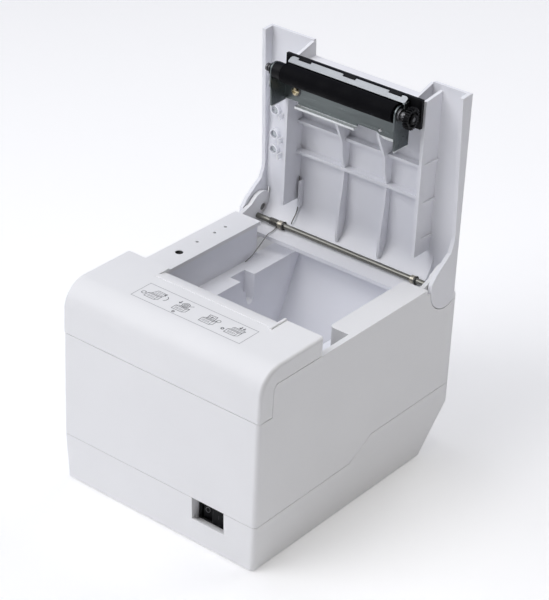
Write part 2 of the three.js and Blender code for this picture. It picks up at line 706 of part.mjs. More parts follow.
function hingeSpring() {
  const turns = 5;
  const radius = ROD.r + 0.35 + WIRE_R;
  const start = -57;
  const pitch = 1.2;
  const points = [];
  for (let i = 0; i <= turns * 8; i += 1) {
    const angle = THREE.MathUtils.degToRad(-60 + i * 45);
    const [y, z] = [ROD.y + radius * Math.cos(angle), ROD.z + radius * Math.sin(angle)];
    points.push([start + (pitch * i) / 8, y, z]);
  }
  points.push([-50.8, 73, 110], [-51, 69.6, 108.8], [-51, 65.3, 108.4], [-51, 60, 105], [-51, 51, 99.6]);
  points.push([-51, 44.5, 97.8]);
  return tube(points, WIRE_R, 96, 6);
}

function springArm() {
  const x = LEFT_WALL[1] + 0.9;
  const points = [[78.4, 113.4], [79.6, 115.6], [82.6, 119.2], [84.1, 123.4], [84.7, 134.2], [84.5, 144.2]];
  return tube(points.map(([y, z]) => [x, y, z]), WIRE_R, 14, 6);
}

function rodClip(x) {
  const ring = tubeX(ROD.y, ROD.z, 2.8, ROD.r + 0.02 + GAP / 2, [x, x + 0.8], 18);
  return ring.subtract(box([x - 1, x + 2], [ROD.y - 1, ROD.y + 1], [ROD.z + 0.5, ROD.z + 4]));
}

// ---- Print mechanism ---------------------------------------------------------------------

// Turns a [y, z] point on the open cover to where it is with the cover shut.
function shut([y, z]) {
  const angle = THREE.MathUtils.degToRad(CLOSE_DEG);
  const dy = y - HINGE.y;
  const dz = z - HINGE.z;
  return [
    HINGE.y + dy * Math.cos(angle) - dz * Math.sin(angle),
    HINGE.z + dy * Math.sin(angle) + dz * Math.cos(angle),
  ];
}

const PLATEN_SHUT = shut([PLATEN.y, PLATEN.z]);

function sidePlate(x, bores) {
  const [py, pz] = PLATEN_SHUT;
  const plate = alongX([[-62, 50], [-16, 50], [-16, FRAME_TOP], [-62, FRAME_TOP]], x);
  const slot = alongX([
    [py - 5.4, FRAME_TOP + 1], [py - 3.1, pz], ...arc([py, pz], 3.1, 190, 350, 7), [py + 3.1, pz],
    [py + 3.5, FRAME_TOP + 1],
  ], [x[0] - 1, x[1] + 1]);
  return cut(plate, [slot, ...bores]);
}

function mechanismFrame() {
  const left = [FRAME_LEFT, FRAME_LEFT + FRAME_T];
  const right = [FRAME_RIGHT - FRAME_T, FRAME_RIGHT];
  const across = [FRAME_LEFT + 0.5, FRAME_RIGHT - 0.5];
  const pivot = rodX(HEAD_PIVOT.y, HEAD_PIVOT.z, 1.8, [FRAME_LEFT - 1, FRAME_RIGHT + 1], 14);
  const motorShaft = rodX(FEED_MOTOR.y, FEED_MOTOR.z, 1.6, [40, FRAME_RIGHT + 1], 14);
  return union([
    sidePlate(left, [pivot]),
    sidePlate(right, [pivot, motorShaft]),
    box(across, [-62, -26], [50, 50 + FRAME_T]),
    box(across, [-62, -62 + FRAME_T], [50, 102]),
    rodX(IDLER.y, IDLER.z, 1.5, [FRAME_RIGHT - 0.5, GEAR_X + GEAR_W + 0.6], 14),
  ]);
}

function thermalHead() {
  const face = PLATEN_SHUT[0] - PLATEN.r - 0.4;
  const plate = box([PAPER_X - 43, PAPER_X + 40.5], [face - 3, face], [HEAD_PIVOT.z - 1, 103]);
  const fins = [94, 97, 100].map((z) => box([-30, 34], [face - 5, face - 2.5], [z, z + 1.2]));
  const pins = rodX(HEAD_PIVOT.y, HEAD_PIVOT.z, 1.4, [FRAME_LEFT - 1, FRAME_RIGHT + 0.5], 12);
  return union([plate, ...fins, pins]);
}

function headSpring(x) {
  const turns = 4;
  const from = -60.3;
  const length = 21;
  const points = [];
  for (let i = 0; i <= turns * 8; i += 1) {
    const angle = (Math.PI * i) / 4;
    points.push([x + 2.2 * Math.cos(angle), from + (length * i) / (turns * 8), 96 + 2.2 * Math.sin(angle)]);
  }
  return tube(points, 0.4, 48, 5);
}

function feedMotor() {
  const { y, z, r } = FEED_MOTOR;
  const can = rodX(y, z, r, [24, FRAME_RIGHT - FRAME_T - GAP], 32);
  return union([can, box([22.5, 27], [y - 5, y + 5], [z - r - 1.5, z])]).subtract(
    rodX(y, z, 1.6, [40, FRAME_RIGHT], 14),
  );
}


function idlerGear() {
  const teeth = gearOutline([IDLER.y, IDLER.z], IDLER_TEETH, GEAR_PHASE + 180 + MESH_PHASE);
  const gear = alongX(teeth, [GEAR_X, GEAR_X + GEAR_W]);
  return gear.subtract(rodX(IDLER.y, IDLER.z, 1.8, [GEAR_X - 1, GEAR_X + 9], 14));
}

function motorPinion() {
  const { y, z } = FEED_MOTOR;
  const gear = alongX(gearOutline([y, z], PINION_TEETH, GEAR_PHASE), [GEAR_X, GEAR_X + GEAR_W]);
  return gear.add(rodX(y, z, 1.2, [41, GEAR_X + 1], 12));
}

function cutterFrame() {
  const plate = box([FRAME_LEFT, FRAME_RIGHT], [-75, -45], [FRAME_TOP + 0.4, FRAME_TOP + 1.4]);
  return plate.subtract(rodZ(CUTTER.x, CUTTER.y, 1.9, [FRAME_TOP, FRAME_TOP + 3], 14));
}


function movingBlade() {
  const [left, right] = [PAPER_X - 41, PAPER_X + 41];
  const edge = [[left, -46], [right, -46], [right, -38], [PAPER_X, -40.2], [left, -38]];
  const blade = alongZ(edge, BLADE_Z);
  const carrier = box([-30, 30], [-76.2, -44.6], [BLADE_Z[0], FRAME_TOP - 0.4]).subtract(
    box([-9, 9], [-73.9, -51], [100, 110]),
  );
  const pitchX = (CUTTER_TEETH * GEAR_MODULE) / 2 + 0.25;
  const teeth = [];
  for (let i = -2; i <= 3; i += 1) {
    const y = CUTTER.y + (i + 0.5) * RACK_PITCH;
    if (y > -71 && y < -51.6) {
      const tooth = [
        [pitchX + 1.1, y - 0.85], [9.5, y - 0.85], [9.5, y + 0.85],
        [pitchX + 1.1, y + 0.85], [pitchX - 0.65, y + 0.33], [pitchX - 0.65, y - 0.33],
      ];
      teeth.push(alongZ(tooth, [BLADE_Z[0], FRAME_TOP - 0.4]));
    }
  }
  const bed = box([pitchX + 1.1, 9.5], [-74, -50.9], [BLADE_Z[0], FRAME_TOP - 0.4]);
  return union([blade, carrier, bed, ...teeth]);
}

function cutterPinion() {
  const gear = alongZ(gearOutline([CUTTER.x, CUTTER.y], CUTTER_TEETH, 0), [BLADE_Z[0], FRAME_TOP - 0.4]);
  return gear.add(rodZ(CUTTER.x, CUTTER.y, 1.5, [FRAME_TOP - 1, FRAME_TOP + 3.6], 12));
}

function cutterMotor() {
  const can = rodZ(CUTTER.x, CUTTER.y, 9, [FRAME_TOP + 1.7, 124.5], 28);
  return can.subtract(rodZ(CUTTER.x, CUTTER.y, 1.9, [FRAME_TOP, FRAME_TOP + 5], 12));
}

// ---- Electronics -------------------------------------------------------------------------


function rearPanel(sockets) {
  const tray = box([-57.5, 57.5], [PANEL_Y, HALF_D - WALL - GAP], [46.5, 71.5]).subtract(
    box([-56, 56], [PANEL_Y + 1.5, HALF_D], [48, 70]),
  );
  return cut(tray, sockets.map(({ x, w, z }) => box([x - w / 2 - GAP, x + w / 2 + GAP], [80, 88],
    [z[0] - GAP, z[1] + GAP])));
}

const SOCKETS = [
  { name: 'power_socket', x: -42, w: 14, z: [51, 64], hole: 'round', material: BLACK_PLASTIC },
  { name: 'usb_socket', x: -17, w: 12.4, z: [51, 62.4], hole: [8.6, 7.6], material: PORT_SHELL },
  { name: 'drawer_socket', x: 8, w: 13, z: [51, 64.6], hole: [9.8, 8], material: BLACK_PLASTIC },
  { name: 'network_socket', x: 35, w: 16, z: [51, 65], hole: [12, 9], material: PORT_SHELL },
];

function socket({ x, w, z, hole }) {
  const body = box([x - w / 2, x + w / 2], [79.4, 87], z);
  const middle = (z[0] + z[1]) / 2;
  if (hole === 'round') {
    const bore = rodY(x, middle, 4.6, [80.8, 88], 24);
    const pins = [-2, 0, 2].map((dx) => rodY(x + dx, middle + (dx ? -1 : 1.5), 0.5, [80, 85], 8));
    return union([body.subtract(bore), ...pins]);
  }
  const [hw, hh] = [hole[0] / 2, hole[1] / 2];
  const mouth = box([x - hw, x + hw], [80.8, 88], [middle - hh, middle + hh]);
  const tongue = box([x - hw + 2, x + hw - 2], [80, 85.4], [middle - 0.8, middle + 1.2]);
  return body.subtract(mouth).add(tongue);
}

function interfaceBoard() {
  const board = box([-50, 50], [77.5, 79.1], [47, 70]);
  const chips = [[-28, 60], [20, 58], [48, 55]]
    .map(([x, z]) => box([x - 2, x + 2], [75.8, 77.6], [z - 3, z + 3]));
  return union([board, ...chips]);
}

function mainBoard() {
  const board = box([-54, 54], [-48, 46], [12, 13.6]);
  const chips = [
    [-20, -10, 12, 12, 1.6],
    [22, -20, 8, 14, 1.8],
    [0, 26, 10, 7, 2.2],
    [-40, 18, 6, 6, 8],
    [40, 20, 7, 9, 7],
  ];
  const parts = chips.map(([x, y, wide, deep, tall]) => (
    box([x - wide / 2, x + wide / 2], [y - deep / 2, y + deep / 2], [13.4, 13.6 + tall])));
  return union([board, ...parts]);
}

function buttonBoard() {
  return box([-69.4, -56], [-12, 46], [106, 107.6]);
}

function tactSwitch() {
  const y = HINGE.y - BUTTON.reach;
  const body = box([BUTTON.x - 3, BUTTON.x + 3], [y - 3, y + 3], [107.9, 112]);
  return body.subtract(rodZ(BUTTON.x, y, 2.1, [109.5, 113], 16));
}

function switchHousing() {
  const face = SWITCH_RECESS.depth - HALF_D;
  const [left, right] = SWITCH.x;
  const [low, high] = SWITCH.z;
  const bezel = box([left - 1, right + 1], [face - 1.5, face - GAP], [low - 0.9, high + 0.9]);
  const body = box([left + 0.3, right - 0.3], [face - 1, face + 12], [low - 0.4, high + 0.4]);
  const window = box([left + 1, right - 1], [face - 3, face + 7], [low + 0.4, high - 0.4]);
  return union([bezel, body]).subtract(window);
}

// The rocker's two halves slope away from a ridge in the middle; one half is pressed in.
function powerRocker() {
  const face = SWITCH_RECESS.depth - HALF_D;
  const middle = (SWITCH.x[0] + SWITCH.x[1]) / 2;
  const half = (SWITCH.x[1] - SWITCH.x[0]) / 2 - 1.8;
  const outline = [
    [middle - half, face - 0.7], [middle - 3, face + 0.2],
    [middle - 1, face - 0.1], [middle + 0.4, face - 2.7],
    [middle + 2, face - 3], [middle + half, face - 1.5], [middle + half, face + 0.2],
    [middle + 3.5, face + 4], [middle - 3.5, face + 4], [middle - half, face + 2],
  ];
  return alongZ(outline, [SWITCH.z[0] + 0.7, SWITCH.z[1] - 0.7]);
}

function feedButton() {
  const z = HINGE.z + BUTTON.reach;
  const cap = rodY(BUTTON.x, z, 4.1, [84.5, SKIN_Y + 0.8], 24);
  return union([cap, rodY(BUTTON.x, z, 1.8, [77.9, 85], 14), rodY(BUTTON.x, z, 5.2, [81.2, 82.6], 20)]);
}

function baseScrew([x, y]) {
  const head = rodZ(x, y, 2.9, [FOOT_H + 0.3, FOOT_H + 1.35], 18);
  const shank = rodZ(x, y, 1.3, [FOOT_H + 1, 22], 12);
  const slot = box([x - 2, x + 2], [y - 0.4, y + 0.4], [0, FOOT_H + 0.9]);
  return head.add(shank).subtract(slot);
}

// ---- Assembly ----------------------------------------------------------------------------


add('base_tray', baseTray(), CASE_WHITE);
add('upper_shell', upperShell(), CASE_WHITE);
add('front_cap', frontCap(), CASE_WHITE);
add('paper_bucket', paperBucket(), INNER_WHITE);
CORNER_NAMES.forEach((corner, i) => {
  add(`foot_${corner}`, rodZ(FEET[i][0], FEET[i][1], FOOT_R, [0, FOOT_H + 0.9], 24), GREY_RUBBER);
  add(`base_screw_${corner}`, baseScrew(POSTS[i]), STEEL);
});

add('switch_housing', switchHousing(), BLACK_PLASTIC);
add('power_rocker', powerRocker(), BLACK_PLASTIC);
add('rear_panel', rearPanel(SOCKETS), BLACK_PLASTIC);
SOCKETS.forEach((spec) => add(spec.name, socket(spec), spec.material));
add('interface_board', interfaceBoard(), BOARD_GREEN);
add('main_board', mainBoard(), BOARD_GREEN);
add('button_board', buttonBoard(), BOARD_GREEN);
add('tact_switch', tactSwitch(), BLACK_PLASTIC);
add('tact_plunger', rodZ(BUTTON.x, HINGE.y - BUTTON.reach, 1.8, [110.3, 117.6], 16), BLACK_PLASTIC);

add('mechanism_frame', mechanismFrame(), ZINC);
add('thermal_head', thermalHead(), ALUMINIUM);
add('head_spring_left', headSpring(-20), SPRING_STEEL);
add('head_spring_right', headSpring(24), SPRING_STEEL);
add('feed_motor', feedMotor(), STEEL);
add('motor_pinion', motorPinion(), BLACK_PLASTIC);
add('idler_gear', idlerGear(), BLACK_PLASTIC);
add('cutter_frame', cutterFrame(), ZINC);
add('moving_blade', movingBlade(), BLADE_STEEL);
add('cutter_pinion', cutterPinion(), BRASS);
add('cutter_motor', cutterMotor(), STEEL);
add('paper_sensor', box([14, 22], [-31, -25.5], [87, 93]), BLACK_PLASTIC);

add('hinge_rod', rodX(ROD.y, ROD.z, ROD.r, [-69.2, 69.2], 20), STEEL);
add('rod_collar_left', tubeX(ROD.y, ROD.z, 2.5, ROD.r + GAP, [-49.7, -46.9], 20), BRASS);
add('rod_collar_right', tubeX(ROD.y, ROD.z, 2.5, ROD.r + GAP, [50.4, 53], 20), BRASS);
add('rod_clip_left', rodClip(-46.5), SPRING_STEEL);
add('rod_clip_right', rodClip(53.4), SPRING_STEEL);
add('hinge_spring', hingeSpring(), SPRING_STEEL);
add('hinge_spring_arm', springArm(), SPRING_STEEL);

add('cover_shell', coverShell(), CASE_WHITE);
add('hinge_pin_left', hingePin(-1), STEEL);
add('hinge_pin_right', hingePin(1), STEEL);
add('platen_bracket', platenBracket(), ZINC);
add('bracket_screw_left', bracketScrew(BRACKET_SCREWS[0]), BRASS);
add('bracket_screw_right', bracketScrew(BRACKET_SCREWS[1]), BRASS);
add('blade_holder', bladeHolder(), BLACK_PLASTIC);
add('fixed_blade', fixedBlade(), BLADE_STEEL);
add('platen_bush_left', leftBush(), BLACK_PLASTIC);
add('platen_bush_right', tubeX(PLATEN.y, PLATEN.z, BUSH_R, SHAFT_R + GAP, [42, 45.2], 20), STEEL);
LIGHTS.reach.forEach((reach, i) => {
  add(`light_pipe_${i + 1}`, rodY(LIGHTS.x, HINGE.z + reach - 1.2, 2.2, [84.9, SKIN_Y], 16), CLEAR);
});
add('feed_button', feedButton(), CASE_WHITE);

add('platen_shaft', platenShaft(), STEEL);
const rollerBody = tubeX(PLATEN.y, PLATEN.z, PLATEN.r, SHAFT_R + GAP, [PLATEN.left, PLATEN.right], 32);
add('platen_roller', rollerBody, BLACK_RUBBER);
add('platen_gear', platenGear(), BLACK_PLASTIC);

export default group;
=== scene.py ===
"""Receipt printer with its paper cover standing open: the looks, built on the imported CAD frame."""

import math

import bmesh
import bpy
from mathutils import Matrix, Vector


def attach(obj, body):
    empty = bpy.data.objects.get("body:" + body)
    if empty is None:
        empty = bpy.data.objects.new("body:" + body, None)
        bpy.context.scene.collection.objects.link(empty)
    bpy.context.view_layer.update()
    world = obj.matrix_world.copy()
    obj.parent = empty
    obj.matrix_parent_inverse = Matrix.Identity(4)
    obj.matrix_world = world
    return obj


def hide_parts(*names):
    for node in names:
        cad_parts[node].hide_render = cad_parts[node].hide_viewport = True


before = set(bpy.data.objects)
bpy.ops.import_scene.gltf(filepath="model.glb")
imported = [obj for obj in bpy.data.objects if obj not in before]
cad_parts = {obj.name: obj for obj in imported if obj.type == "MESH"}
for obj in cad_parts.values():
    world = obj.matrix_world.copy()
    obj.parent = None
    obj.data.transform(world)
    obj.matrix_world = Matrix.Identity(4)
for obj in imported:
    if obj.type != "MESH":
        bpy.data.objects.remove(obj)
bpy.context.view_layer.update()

MM = 0.001

# ---- Driving dimensions, in millimetres ---------------------------------------------------

CAMERA_PLACE = (659.811, -844.085, 723.098)
CAMERA_AZIMUTH = 37.705
CAMERA_ELEVATION = 29.781
CAMERA_ROLL = 2.672
CAMERA_LENS = 127.98

ROD = (75.0, 112.5)
ROD_R = 1.7
WIRE_R = 0.34
COIL_WIRE_R = 0.27
COIL_TURNS = 5
COIL_START = -57.0
COIL_PITCH = 1.2

BRACKET_SCREWS = {"bracket_screw_left": (-37.5, 207.6), "bracket_screw_right": (33.0, 217.0)}
BRACKET_FACE = 69.25

LIGHT_X = -64.0
LIGHT_ZS = (181.8, 165.8, 155.6)

DECAL = {"x": (-36.2, 42.6), "y": (-75.0, -58.2)}
DECAL_LIFT = 0.04
CAP_FLAT = ((-76.0, 130.7), (-38.1, 131.0))

BUTTON_XY = (-62.7, -3.6)

SWITCH_CENTRE = (37.7, 22.2)
SWITCH_FACE = -84.9


# ---- Materials ----------------------------------------------------------------------------


class Shader:
    """A small builder for a Principled material's node tree."""

    def __init__(self, name, colour, roughness, metallic=0.0, specular=0.5):
        self.material = bpy.data.materials.new(name)
        self.material.use_nodes = True
        self.tree = self.material.node_tree
        self.bsdf = self.tree.nodes["Principled BSDF"]
        self.place = self.node("ShaderNodeTexCoord").outputs["Object"]
        self.colour = tuple(colour) + (1.0,)
        self.bsdf.inputs["Base Color"].default_value = self.colour
        self.bsdf.inputs["Roughness"].default_value = roughness
        self.bsdf.inputs["Metallic"].default_value = metallic
        self.bsdf.inputs["Specular IOR Level"].default_value = specular
        self.material.diffuse_color = self.colour

    def node(self, kind, **settings):
        made = self.tree.nodes.new(kind)
        for key, value in settings.items():
            setattr(made, key, value)
        return made

    def link(self, source, target):
        self.tree.links.new(source, target)

    def noise(self, scale, detail=3.0, stretch=(1.0, 1.0, 1.0)):
        mapping = self.node("ShaderNodeMapping")
        mapping.inputs["Scale"].default_value = stretch
        self.link(self.place, mapping.inputs["Vector"])
        texture = self.node("ShaderNodeTexNoise")
        texture.inputs["Scale"].default_value = scale
        texture.inputs["Detail"].default_value = detail
        self.link(mapping.outputs["Vector"], texture.inputs["Vector"])
        return texture.outputs["Fac"]

    def remap(self, value, low, high, start=0.3, stop=0.7):
        node = self.node("ShaderNodeMapRange")
        node.inputs["From Min"].default_value = start
        node.inputs["From Max"].default_value = stop
        node.inputs["To Min"].default_value = low
        node.inputs["To Max"].default_value = high
        self.link(value, node.inputs["Value"])
        return node.outputs["Result"]

    def edge_mask(self, radius):
        """1 on convex and concave edges, 0 on open surfaces."""
        bevel = self.node("ShaderNodeBevel", samples=4)
        bevel.inputs["Radius"].default_value = radius
        geometry = self.node("ShaderNodeNewGeometry")
        dot = self.node("ShaderNodeVectorMath", operation="DOT_PRODUCT")
        self.link(bevel.outputs["Normal"], dot.inputs[0])
        self.link(geometry.outputs["Normal"], dot.inputs[1])
        return self.remap(dot.outputs["Value"], 1.0, 0.0, 0.8, 0.995)

    def lower_than(self, height):
        """1 below the height in metres, 0 above it."""
        split = self.node("ShaderNodeSeparateXYZ")
        self.link(self.place, split.inputs["Vector"])
        return self.remap(split.outputs["Z"], 1.0, 0.0, height - 0.0002, height + 0.0002)

    def tint(self, factor, colour, source=None):
        """Mixes colour over what the base colour is so far."""
        mix = self.node("ShaderNodeMix", data_type="RGBA")
        self.link(factor, mix.inputs["Factor"])
        if source is None:
            mix.inputs["A"].default_value = self.colour
        else:
            self.link(source, mix.inputs["A"])
        mix.inputs["B"].default_value = tuple(colour) + (1.0,)
        self.link(mix.outputs["Result"], self.bsdf.inputs["Base Color"])
        return mix.outputs["Result"]

    def bump(self, height, strength, distance):
        node = self.node("ShaderNodeBump")
        node.inputs["Strength"].default_value = strength
        node.inputs["Distance"].default_value = distance
        self.link(height, node.inputs["Height"])
        self.link(node.outputs["Normal"], self.bsdf.inputs["Normal"])


def shade(colour, factor):
    return tuple(min(1.0, c * factor) for c in colour)


def moulded(name, colour, roughness, grain=2600.0, depth=0.00003, edge_highlight=0.15, specular=0.5):
    """Moulded plastic: a fine spark-eroded grain, faint flow marks and edges painted lighter as a painted
    highlight.
    """
    shader = Shader(name, colour, roughness, specular=specular)
    flow = shader.remap(shader.noise(22.0, 2.0), 0.0, 0.35)
    base = shader.tint(flow, shade(colour, 0.94))
    # Painted highlight: the edges are painted lighter than the faces.
    highlit_edges = shader.node("ShaderNodeMath", operation="MULTIPLY")
    shader.link(shader.edge_mask(0.0005), highlit_edges.inputs[0])
    highlit_edges.inputs[1].default_value = edge_highlight
    shader.tint(highlit_edges.outputs["Value"], shade(colour, 1.25), base)
    gloss = shader.remap(shader.noise(160.0, 4.0), roughness - 0.06, roughness + 0.06)
    shader.link(gloss, shader.bsdf.inputs["Roughness"])
    shader.bump(shader.noise(grain, 2.0), 0.35, depth)
    return shader.material


def metal(name, colour, roughness, stretch=(1.0, 1.0, 1.0), grain=900.0, edge_highlight=0.4, cloud=0.6,
          highlight_below=None):
    """Bare or plated metal, drawn along the short axis of the stretch, with painted highlights on its edges
    and below a folded edge.
    """
    shader = Shader(name, colour, roughness, 1.0)
    patches = shader.remap(shader.noise(60.0, 4.0), 0.0, cloud)
    base = shader.tint(patches, shade(colour, 0.8))
    # Painted highlight: the edges are painted lighter than the plate.
    highlit_edges = shader.node("ShaderNodeMath", operation="MULTIPLY")
    shader.link(shader.edge_mask(0.0003), highlit_edges.inputs[0])
    highlit_edges.inputs[1].default_value = edge_highlight
    base = shader.tint(highlit_edges.outputs["Value"], shade(colour, 1.5), base)
    # Painted highlight: below the folded edge the plate is painted pale and less metallic.
    if highlight_below:
        below = shader.lower_than(highlight_below)
        shader.tint(below, (0.8, 0.82, 0.82), base)
        shader.link(shader.remap(below, 1.0, 0.45, 0.0, 1.0), shader.bsdf.inputs["Metallic"])
    lines = shader.noise(grain, 3.0, stretch)
    shader.link(shader.remap(lines, roughness - 0.1, roughness + 0.12), shader.bsdf.inputs["Roughness"])
    shader.bump(lines, 0.25, 0.00002)
    return shader.material


def rubber(name, colour, roughness, specular=0.5):
    """Ground rubber: dull, with a fine dusty grain."""
    shader = Shader(name, colour, roughness, specular=specular)
    dust = shader.remap(shader.noise(700.0, 5.0), 0.0, 0.5, 0.45, 0.75)
    shader.tint(dust, shade(colour, 2.2))
    shader.link(shader.remap(shader.noise(90.0, 3.0), roughness - 0.08, roughness + 0.08),
                shader.bsdf.inputs["Roughness"])
    shader.bump(shader.noise(1800.0, 3.0), 0.4, 0.00003)
    return shader.material


def circuit(name):
    """Solder-masked board with faint copper under the mask."""
    green = (0.02, 0.13, 0.07)
    shader = Shader(name, green, 0.35)
    bricks = shader.node("ShaderNodeTexBrick")
    bricks.inputs["Scale"].default_value = 160.0
    bricks.inputs["Mortar Size"].default_value = 0.035
    shader.link(shader.place, bricks.inputs["Vector"])
    shader.tint(bricks.outputs["Fac"], (0.05, 0.25, 0.12))
    shader.bump(shader.noise(500.0, 2.0), 0.2, 0.00002)
    return shader.material


def light_pipe(name):
    shader = Shader(name, (0.78, 0.82, 0.86), 0.12)
    shader.bsdf.inputs["Transmission Weight"].default_value = 0.55
    shader.bsdf.inputs["IOR"].default_value = 1.49
    shader.bump(shader.noise(900.0, 2.0), 0.1, 0.00002)
    return shader.material


def printed(name, colour):
    """Pad-printed ink, slightly uneven."""
    shader = Shader(name, colour, 0.5)
    shader.tint(shader.remap(shader.noise(1500.0, 3.0), 0.0, 0.4), shade(colour, 1.3))
    return shader.material


WHITE = (0.89, 0.892, 0.903)
CASE = moulded("case_white", WHITE, 0.46)
# Painted light: the cover white is tinted bluer than the case white, for the cool light inside the open
# cover.
COOL_TINTED_COVER = moulded("cover_white_painted_cool_light", (0.88, 0.886, 0.925), 0.46)
# Painted light: the paper bay is painted brighter and bluer than the case white, for the soft cool light
# inside it.
BRIGHT_INNER = moulded("inner_white", (0.90, 0.908, 0.955), 0.5)
BLACK = moulded("black_plastic", (0.004, 0.004, 0.005), 0.45, 1800.0, edge_highlight=0.4, specular=0.16)
GREY_RUBBER = rubber("grey_rubber", (0.07, 0.07, 0.075), 0.8)
ROLLER = rubber("roller_rubber", (0.002, 0.002, 0.003), 0.65, 0.08)
ZINC = metal("zinc_plate", (0.30, 0.33, 0.325), 0.32, (0.05, 1.0, 1.0))
# Painted shade: the bracket is painted about half as bright as the zinc plate, standing for the roller's dark
# reflection and shadow on it.
DARKENED_BRACKET = metal("bracket_zinc_painted_dark", (0.15, 0.168, 0.168), 0.34, (0.05, 1.0, 1.0), highlight_below=0.1996, cloud=0.15)
STEEL = metal("turned_steel", (0.42, 0.42, 0.40), 0.3, (1.0, 0.05, 0.05))
ROD_STEEL = metal("rod_steel", (0.24, 0.235, 0.21), 0.34, (0.02, 1.0, 1.0))
DARK_STEEL = metal("dark_steel", (0.17, 0.17, 0.175), 0.45)
BLADE = metal("blade_steel", (0.43, 0.445, 0.455), 0.42, (1.0, 0.04, 1.0), 1500.0)
SPRING = metal("spring_steel", (0.16, 0.155, 0.145), 0.38)
COIL = metal("coil_steel", (0.27, 0.265, 0.245), 0.36)
BRASS = metal("brass", (0.78, 0.68, 0.46), 0.26)
DULL_BRASS = metal("dull_brass", (0.46, 0.43, 0.36), 0.35)
HEATSINK = metal("heatsink", (0.52, 0.53, 0.54), 0.4, (0.05, 1.0, 1.0))
PORT = metal("port_shell", (0.58, 0.59, 0.60), 0.3)
GOLD = metal("contact_gold", (0.75, 0.55, 0.22), 0.28)
BOARD = circuit("circuit_board")
# Painted shade: flat black with no edge highlight, for the gap around the feed plunger.
GAP_SHADE_BLACK = printed("painted_gap_shade_black", (0.004, 0.004, 0.005))
CLEAR = light_pipe("clear_plastic")
INK = printed("printed_ink", (0.12, 0.12, 0.13))
LINE_INK = printed("line_ink", (0.42, 0.42, 0.44))
MARK = printed("switch_mark", (0.2, 0.2, 0.21))
FAINT_MARK = printed("faint_mark", (0.05, 0.05, 0.055))
LABEL = moulded("blank_label", (0.5, 0.51, 0.52), 0.35, 900.0)

NODE_MATERIALS = {
    CASE: "base_tray upper_shell front_cap feed_button",
    COOL_TINTED_COVER: "cover_shell",
    BRIGHT_INNER: "paper_bucket",
    BLACK: "switch_housing power_rocker rear_panel power_socket drawer_socket tact_switch tact_plunger "
    "paper_sensor blade_holder platen_gear motor_pinion idler_gear platen_bush_left",
    PORT: "usb_socket network_socket",
    GREY_RUBBER: "foot_front_left foot_front_right foot_rear_left foot_rear_right",
    ROLLER: "platen_roller",
    BOARD: "interface_board main_board button_board",
    ZINC: "mechanism_frame cutter_frame",
    DARKENED_BRACKET: "platen_bracket",
    STEEL: "base_screw_front_left base_screw_front_right base_screw_rear_left base_screw_rear_right "
    "feed_motor cutter_motor hinge_pin_left hinge_pin_right",
    DARK_STEEL: "platen_shaft platen_bush_right",
    ROD_STEEL: "hinge_rod",
    SPRING: "head_spring_left head_spring_right hinge_spring hinge_spring_arm rod_clip_left rod_clip_right",
    BLADE: "fixed_blade moving_blade",
    BRASS: "cutter_pinion bracket_screw_left bracket_screw_right",
    DULL_BRASS: "rod_collar_left rod_collar_right",
    HEATSINK: "thermal_head",
    CLEAR: "light_pipe_1 light_pipe_2 light_pipe_3",
}

# Edge radius of each CAD node, in millimetres; other nodes take the default.
DEFAULT_EDGE = 0.15
NODE_EDGES = {
    "base_tray": 0.22,
    "upper_shell": 0.25,
    "front_cap": 0.6,
    "cover_shell": 0.3,
    "paper_bucket": 0.7,
    "feed_button": 0.4,
    "platen_gear": 0.08,
    "idler_gear": 0.08,
    "motor_pinion": 0.08,
    "cutter_pinion": 0.08,
    "fixed_blade": 0.08,
    "moving_blade": 0.08,
    "switch_housing": 0.25,
    "power_rocker": 0.5,
    "foot_front_left": 0.5,
    "foot_front_right": 0.5,
    "foot_rear_left": 0.5,
    "foot_rear_right": 0.5,
}
SMOOTHED = ("head_spring_left", "head_spring_right")


def finish_node(node, material):
    """Gives a CAD node its material and, with modifiers only, rounded edges."""
    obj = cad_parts[node]
    obj.data.materials.clear()
    obj.data.materials.append(material)
    obj.data.polygons.foreach_set("use_smooth", [True] * len(obj.data.polygons))
    weld = obj.modifiers.new("weld", "WELD")
    weld.merge_threshold = 1e-6
    if node in SMOOTHED:
        subdivision = obj.modifiers.new("round", "SUBSURF")
        subdivision.levels = subdivision.render_levels = 1
        return
    flat = obj.modifiers.new("flat", "DECIMATE")
    flat.decimate_type = "DISSOLVE"
    flat.angle_limit = math.radians(0.5)
    bevel = obj.modifiers.new("edge", "BEVEL")
    bevel.width = NODE_EDGES.get(node, DEFAULT_EDGE) * MM
    bevel.segments = 3
    bevel.limit_method = "ANGLE"
    bevel.angle_limit = math.radians(28)
    bevel.miter_outer = "MITER_ARC"
    normals = obj.modifiers.new("normals", "WEIGHTED_NORMAL")
    normals.keep_sharp = True


for material, names in NODE_MATERIALS.items():
    for node in names.split():
        finish_node(node, material)


# ---- Piece builders -----------------------------------------------------------------------


def piece(name, verts, faces, material, body, slot, smooth=True):
    """A mesh piece from vertices in millimetres, riding on a CAD body."""
    mesh = bpy.data.meshes.new(name)
    mesh.from_pydata([Vector(v) * MM for v in verts], [], faces)
    mesh.materials.append(material)
    bm = bmesh.new()
    bm.from_mesh(mesh)
    bmesh.ops.recalc_face_normals(bm, faces=bm.faces)
    bm.to_mesh(mesh)
    bm.free()
    mesh.polygons.foreach_set("use_smooth", [smooth] * len(mesh.polygons))
    obj = bpy.data.objects.new(name, mesh)
    bpy.context.scene.collection.objects.link(obj)
    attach(obj, body)
    return obj


def soften(obj, width, segments=3, angle=28):
    bevel = obj.modifiers.new("edge", "BEVEL")
    bevel.width = width * MM
    bevel.segments = segments
    bevel.limit_method = "ANGLE"
    bevel.angle_limit = math.radians(angle)
    obj.modifiers.new("normals", "WEIGHTED_NORMAL").keep_sharp = True
    return obj


